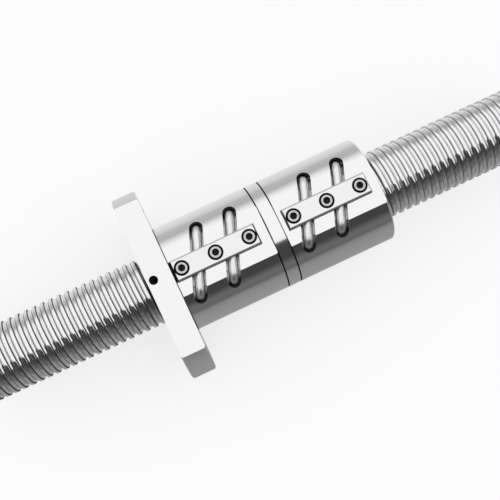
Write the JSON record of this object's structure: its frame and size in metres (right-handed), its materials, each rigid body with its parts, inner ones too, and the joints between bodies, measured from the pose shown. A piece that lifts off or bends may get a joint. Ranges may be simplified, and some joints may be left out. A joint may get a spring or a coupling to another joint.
{
  "type": "ball screw nut",
  "caption": "Flanged preloaded double ball screw nut with return tubes under clamp plates, on a length of right-hand ground ball screw.",
  "frame": {"origin": "on the screw's axis, in the face where the flange seats on its housing", "axes": "+X along the screw from the flange to the plain nut, +Z out of the flat that carries the return tubes, +Y completes a right-handed frame"},
  "size_m": [0.345, 0.11, 0.066],
  "materials": {
    "ground_steel": "ground",
    "bright_steel": "ground bright",
    "tube_steel": "drawn bright",
    "screw_steel": "satin",
    "felt": "pressed felt"
  },
  "bodies": {
    "nut_unit": {"clamp_plate_1": "ground_steel", "clamp_plate_2": "ground_steel", "clamp_screw_1": "screw_steel", "clamp_screw_2": "screw_steel", "clamp_screw_3": "screw_steel", "clamp_screw_4": "screw_steel", "clamp_screw_5": "screw_steel", "clamp_screw_6": "screw_steel", "flanged_nut": "ground_steel", "locking_pin_1": "ground_steel", "locking_pin_2": "ground_steel", "plain_nut": "ground_steel", "return_tube_1": "tube_steel", "return_tube_2": "tube_steel", "return_tube_3": "tube_steel", "return_tube_4": "tube_steel", "spacer_ring": "ground_steel"},
    "turning_wipers": {"felt_wiper_flange": "felt", "felt_wiper_front": "felt"},
    "screw": {"screw_shaft": "bright_steel"}
  },
  "joints": [
    {"name": "screw_turn", "type": "hinge", "parent": "nut_unit", "child": "turning_wipers", "pos_m": [0, 0, 0], "axis": [1, 0, 0], "range_deg": [-6480, 6480]},
    {"name": "screw_travel", "type": "slide", "parent": "turning_wipers", "child": "screw", "axis": [1, 0, 0], "range_m": [-0.09, 0.09]}
  ],
  "couplings": [
    {"joint": "screw_travel", "follows": "screw_turn", "m_per_rad": 0.00079577}
  ]
}
